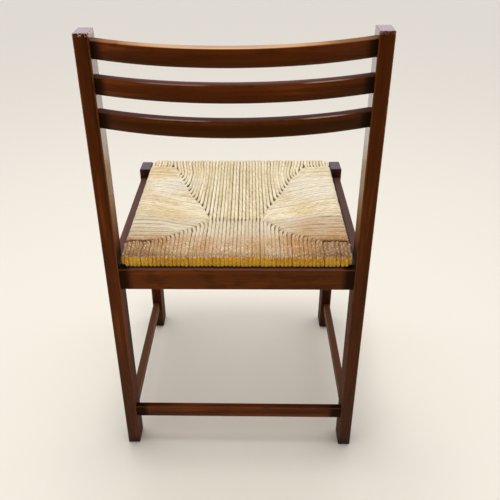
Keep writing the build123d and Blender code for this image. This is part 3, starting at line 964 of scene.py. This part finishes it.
thickness = 1.0 - given["Thin End"] * along.step(*THIN_OVER) + uneven + bulge
curve = start.node("GeometryNodeSetCurveRadius", {}, {"Curve": curve, "Radius": thickness})
curve = stored(curve, "along", along)
curve = stored(curve, "shade", shade)
curve = stored(curve, "notch", given["Notch"])
curve = stored(curve, "core", place, "FLOAT_VECTOR")
print("cord paths take", len(cord_tree.nodes), "nodes")

# %% Oval section and twist
SECTION_POINTS, STRANDS, TWIST_START = 10, 2.0, 37.0  # the last sets each cord's own start

profile = start.node("GeometryNodeCurvePrimitiveCircle", {"mode": "RADIUS"}, {
    "Resolution": SECTION_POINTS, "Radius": 1.0})
ring = start.node("GeometryNodeInputPosition").split()
profile = stored(profile, "angle", ring[1].apply("ARCTAN2", ring[0]))
oval = start.vector(ring[0] * given["Width"] * 0.5, ring[1] * given["Thickness"] * 0.5)
profile = start.node("GeometryNodeSetPosition", {}, {"Geometry": profile, "Position": oval})
cords = start.node("GeometryNodeCurveToMesh", {}, {
    "Curve": curve, "Profile Curve": profile, "Fill Caps": True})
turns = read("along") * given["Turns"] * (2 * math.pi)
wave = (read("angle") * STRANDS + turns + read("shade") * TWIST_START).apply("COSINE")
spoke = vector_math("SUBTRACT", {0: place, 1: read("core", "FLOAT_VECTOR")})
push = vector_math("SCALE", {0: spoke, "Scale": (wave - 1.0) * given["Twist Depth"]})
cords = stored(cords, "twist", wave)
cords = start.node("GeometryNodeSetPosition", {}, {"Geometry": cords, "Offset": push})
close_tree(cords, given["Material"])

# %% [markdown]
# ### Colour of rush
# Dry rush is straw-coloured, but never evenly: each stalk has its own tone, brown where it was wet and
# pale where it bleached. A colour picked at random for each cord would look striped, so noise runs along
# every cord by the attributes that the tree stored, and only a little of the tone is the cord's own.

# %% Straw
STRAW_DARK, STRAW_PALE = (0.55, 0.42, 0.20, 1), (0.93, 0.83, 0.60, 1)
CORD_SHARE, FIBRE_SHARE, BLOTCH_SHARE = 0.08, 0.55, 0.33

rush, start, sockets = new_material("rush")
place = object_place(start)
x, y, z = place.split()
angle, along, shade, twist, notch = (
    start.node("ShaderNodeAttribute", {"attribute_name": name}, {}, "Fac")
    for name in ("angle", "along", "shade", "twist", "notch"))
fibre = start.vector(along * 90.0, twist * 1.6, shade * 91.0).noise(1.0, 3.0, 0.6)
blotch = start.vector(along * 14.0, shade * 57.0, twist * 0.2).noise(1.0, 2.0)
tone = shade * CORD_SHARE + fibre * FIBRE_SHARE + blotch * BLOTCH_SHARE
colour = tone.step(0.27, 0.66).mix(STRAW_DARK, STRAW_PALE)
print("straw takes", len(rush.node_tree.nodes), "nodes")

# %% Bleached and honey-coloured patches, and painted glare
HONEY, BLEACHED_AND_GLARE = (0.66, 0.46, 0.18, 1), (0.86, 0.80, 0.70, 1)
# Each patch is the x and y of its middle, and its reach
HONEY_PATCHES = (
    (-0.125, 0.005, 0.04), (0.165, -0.160, 0.045), (0.13, 0.03, 0.05), (0.06, -0.165, 0.02))
# bleached rush; the second patch also carries painted glare, and the last is a painted glint
BLEACHED_AND_GLARE_PATCHES = ((0.150, -0.085, 0.05), (-0.155, -0.085, 0.085), (-0.10, 0.045, 0.025))
FAINT_PATCHES = ((0.066, -0.005, 0.04), (-0.066, -0.02, 0.03), (0.10, -0.11, 0.045))
cloud = place.noise(26.0, 4.0, 0.6)
streak = place.scaled(14.0, 170.0, 60.0).noise(1.0, 2.0).step(0.40, 0.62)


def patches(middles):
    """Soft round patches on the seat with ragged rims."""
    total = 0.0
    for centre_x, centre_y, reach in middles:
        away = ((x - centre_x) ** 2.0 + (y - centre_y) ** 2.0) ** 0.5
        total = total + (away + 0.05 * cloud).step(reach + 0.025, 0.4 * reach + 0.02)
    return total


bleached_and_glare = patches(BLEACHED_AND_GLARE_PATCHES) + 0.5 * patches(FAINT_PATCHES)
colour = layered(
    colour, (patches(HONEY_PATCHES) * (0.25 + 0.4 * streak), HONEY), (bleached_and_glare * 0.5, BLEACHED_AND_GLARE))
print("patches:", len(HONEY_PATCHES), "honey,", len(BLEACHED_AND_GLARE_PATCHES + FAINT_PATCHES), "bleached_and_glare")

# %% [markdown]
# ### Darkened rear edge
# Painted shade greys the rush behind the ridge, and use has stained it darker, most of all at the rear
# corners, and frayed it into flecks. The rear edge itself is golden below its rounded top, partly its
# own tone and partly painted bounce light from the floor. Stored attributes would tie such marks to
# single cords, but they follow the seat, so Object coordinates place them.

# %% Painted shade, stains and flecks
# painted shade over the rush behind the ridge, then real stains
REAR_SHADE, STAIN, STAINED_CORNER = (0.53, 0.45, 0.34, 1), (0.42, 0.195, 0.042, 1), (0.18, 0.095, 0.05, 1)
PALE_FLECK, DARK_FLECK = (0.92, 0.69, 0.40, 1), (0.22, 0.105, 0.03, 1)
BEHIND_RIDGE, REAR_FROM = (0.030, 0.050), (0.080, 0.152)  # Y
# These are pairs of x and y
RIGHT_REAR, REAR_CORNERS = ((-0.05, -0.14), (0.030, 0.075)), ((0.09, 0.16), (0.122, 0.142))

right_rear = x.step(*RIGHT_REAR[0]) * y.step(*RIGHT_REAR[1]) * (0.35 + 0.65 * streak)
rear = (y + 0.02 * (cloud - 0.5)).step(*REAR_FROM)
corner = x.apply("ABSOLUTE").step(*REAR_CORNERS[0]) * y.step(*REAR_CORNERS[1])
stain = (rear * 0.8 + corner * 0.6 + right_rear * 0.75) * (0.7 + 0.6 * cloud.step(0.3, 0.7))
fleck = place.scaled(520.0, 260.0, 400.0).noise(1.0, 2.0, 0.6)
worn = 0.2 + 0.8 * rear
colour = layered(
    colour, (y.step(*BEHIND_RIDGE) * 0.45, REAR_SHADE), ((stain * 0.75).apply("MINIMUM", 0.9), STAIN),
    (corner * (0.4 + 0.2 * x.step(0.05, -0.05)), STAINED_CORNER),
    (fleck.step(0.56, 0.68) * worn * 0.85, PALE_FLECK),
    (fleck.step(0.44, 0.32) * worn * 0.75, DARK_FLECK))
print("with its stains the rush takes", len(rush.node_tree.nodes), "nodes")

# %% Golden band, partly painted bounce light
# gold that is partly the rush's own tone and partly painted bounce light from the floor, yellowest low
# down
GOLD_DARK, GOLD, GOLD_LOW = (0.50, 0.18, 0.006, 1), (0.98, 0.52, 0.02, 1), (0.72, 0.46, 0.006, 1)
PALE_TIP = (0.90, 0.70, 0.48, 1)
BAND_FROM, TIPS_FROM = (0.178, 0.184), (0.174, 0.182)  # Y
BAND_BELOW, TIPS_BELOW, LOW_BAND = (0.4448, 0.4424), (0.4468, 0.4456), (0.4370, 0.4330)  # heights

jagged = z + 0.006 * (fleck - 0.5) + 0.0012 * (shade - 0.5)
tips = y.step(*TIPS_FROM) * jagged.step(*TIPS_BELOW) * fleck.step(0.47, 0.58)
golden = (cloud * 0.35 + fleck * 0.65).step(0.36, 0.62).mix(GOLD_DARK, GOLD)
golden = (z.step(*LOW_BAND) * 0.6).mix(golden, GOLD_LOW)
band = y.step(*BAND_FROM) * jagged.step(*BAND_BELOW)
colour = layered(colour, (tips * 0.6, PALE_TIP), (band * (0.95 - 0.1 * corner), golden))
print("golden band from", BAND_FROM[0], "m back, below", BAND_BELOW[0], "m")

# %% [markdown]
# ### Creases and notches
# Dust and shade make the creases between cords brown, faintest in the hollow and strongest just behind
# the ridge. Front and rear cords also end at their mitres in dark notches. Shadows alone are too weak
# in gaps finer than a pixel, so both are painted on the cords' flanks, where the stored angle points
# sideways.

# %% Creases, notches and finish
# creases: dust and painted shade; notches at the mitres and the twist's grooves: painted shade
CREASE, NOTCH, GROOVE = (0.33, 0.27, 0.115, 1), (0.14, 0.07, 0.022, 1), (0.30, 0.18, 0.08, 1)
NOTCH_OVER = (0.022, 0.012)  # distances along a cord from its dive
CREASES_FADE, CREASES_DEEPEN = (-0.10, -0.02), (0.034, 0.042)  # Y
RUSH_SPECULAR = 0.25

flank = angle.apply("COSINE").apply("ABSOLUTE")
crease = flank.step(0.68, 0.94) * notch * (1.0 - 0.8 * rear)
crease_depth = 0.60 - 0.25 * y.step(*CREASES_FADE) + 0.55 * y.step(*CREASES_DEEPEN)
notched = notch * along.step(*NOTCH_OVER) * flank.step(0.4, 0.9) * (0.35 + 0.65 * shade.step(0.1, 0.6))
colour = layered(
    colour, (crease * crease_depth, CREASE), (notched, NOTCH), (twist.step(-0.3, -1.0) * 0.25, GROOVE))
join(colour, sockets["Base Color"])
join(0.55 + 0.25 * fibre, sockets["Roughness"])
sockets["Specular IOR Level"].default_value = RUSH_SPECULAR
bump(fibre, 0.35, 0.0006, sockets)
print("rush has", len(rush.node_tree.nodes), "nodes")

# %% [markdown]
# ### Winding
# The four panels are wound one after another. The front cords are narrow and taper most at the mitre,
# the side ones are wide, and the rear ones bulge over their edge. All could be one mesh, but four pieces
# stay small enough to export well.

# %% Wind the rush
ALL_CORDS = {"Thickness": CORD_THICKNESS, "Step": 0.0035, "Turns": 42.0, "Twist Depth": 0.035,
             "Uneven": 0.3, "Material": rush}
FRONT_CORDS = {"Width": 0.0067, "Thin End": 0.72, "Wander": 0.0010, "Notch": 0.75, "Bulge": 0.0}
REAR_CORDS = {"Width": 0.0073, "Thin End": 0.30, "Wander": 0.0018, "Notch": 1.0, "Bulge": 0.14}
SIDE_CORDS = {"Width": 0.0083, "Thin End": 0.2, "Wander": 0.0016, "Notch": 0.25, "Bulge": 0.0}
END_COUNT, SIDE_COUNT = 58, 44


def wound(name, paths, sizes, seed):
    """Makes one panel's cords from their paths."""
    data = bpy.data.curves.new(name + "_paths", "CURVE")
    data.dimensions = "3D"
    for path in paths:
        spline = data.splines.new("POLY")
        spline.points.add(len(path) - 1)
        for target, point in zip(spline.points, path):
            target.co = (*point, 1)
    piece = grown(name, data, cord_tree, {**ALL_CORDS, **sizes, "Seed": seed})
    piece.data.shade_smooth()
    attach(piece, "seat")
    print(name, "has", len(paths), "cords and", len(piece.data.polygons), "faces")
    return piece


panels = [
    wound("rush_front", end_cords("front", END_COUNT), FRONT_CORDS, 1),
    wound("rush_rear", end_cords("rear", END_COUNT), REAR_CORDS, 2),
    wound("rush_left", side_cords("left", SIDE_COUNT), SIDE_CORDS, 3),
    wound("rush_right", side_cords("right", SIDE_COUNT), SIDE_CORDS, 4),
]
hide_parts("rush_weave")

# %% [markdown]
# ### Lining under the cords
# Between the bars and the cords lies a lining of dark, dry rush that keeps the cords from chafing and
# stops light from falling through the gaps. It could be a copy of the CAD solid, but one skin that
# follows the seat's shape stays just under the cords everywhere.

# %% Shape of the lining
# Near the edges the lining also lies over the bars, where it is a dark sheet standing for shade in the
# gaps.
LINING_INSET = 0.0048
# At each corner the end of a bar shows inside the last cord
CORNER_BARE, BARE_FRONT, BARE_REAR = 0.010, -0.187, 0.134
ROWS, COLUMNS = 44, 40


def lining_points(top):
    """Rows of points over the top or the underside of the lining."""
    corner_round = CORNER_ROUND - LINING_INSET
    for y in spaced(SEAT_FRONT + LINING_INSET, SEAT_REAR - LINING_INSET, ROWS + 1):
        from_end = min(y - SEAT_FRONT, SEAT_REAR - y) - LINING_INSET
        bend = corner_round - min(corner_round, from_end)
        half = half_width(y) - LINING_INSET - corner_round + math.sqrt(corner_round ** 2 - bend ** 2)
        if y < BARE_FRONT or y > BARE_REAR:
            half -= CORNER_BARE
        for x in spaced(-half, half, COLUMNS + 1):
            z = seat_surface(x, y) - LINING_INSET if top else SEAT_BOTTOM + LINING_INSET
            yield x, y, z


per_layer = (ROWS + 1) * (COLUMNS + 1)
faces = []
for row in range(ROWS):
    for column in range(COLUMNS):
        first = row * (COLUMNS + 1) + column
        over = (first, first + 1, first + COLUMNS + 2, first + COLUMNS + 1)
        faces.append(over)
        faces.append(tuple(per_layer + index for index in reversed(over)))
rim = list(range(COLUMNS)) + [row * (COLUMNS + 1) + COLUMNS for row in range(ROWS)]
rim += [per_layer - 1 - column for column in range(COLUMNS)]
rim += [(ROWS - row) * (COLUMNS + 1) for row in range(ROWS)]
for first, second in zip(rim, rim[1:] + rim[:1]):
    faces.append((first, first + per_layer, second + per_layer, second))
lining_mesh = bpy.data.meshes.new("rush_lining")
lining_mesh.from_pydata(list(lining_points(True)) + list(lining_points(False)), [], faces)
lining = placed("rush_lining", lining_mesh)
print("lining has", len(faces), "faces")

# %% Finish of the lining
# the dark colour is partly painted shade for the gaps between cords; the golden rear rim is partly
# painted bounce light
LINING_DARK, LINING_PALE = (0.10, 0.06, 0.025, 1), (0.30, 0.20, 0.085, 1)
LINING_REAR, LINING_EDGE = (0.34, 0.18, 0.07, 1), (0.42, 0.17, 0.01, 1)
LINING_REAR_FROM, LINING_EDGE_FROM = (0.08, 0.15), (0.176, 0.182)  # Y

dry_rush, start, sockets = new_material("dry_rush_lining")
place = object_place(start)
scraps = place.scaled(420.0, 90.0, 90.0).noise(1.0, 3.0, 0.6)
y = place.split()[1]
colour = layered(
    scraps.step(0.3, 0.7).mix(LINING_DARK, LINING_PALE),
    (y.step(*LINING_REAR_FROM) * 0.7, LINING_REAR), (y.step(*LINING_EDGE_FROM) * 0.8, LINING_EDGE))
join(colour, sockets["Base Color"])
join(0.75 + 0.2 * scraps, sockets["Roughness"])
lining_mesh.materials.append(dry_rush)
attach(lining, "seat")
print("lining is finished with", len(dry_rush.node_tree.nodes), "nodes")
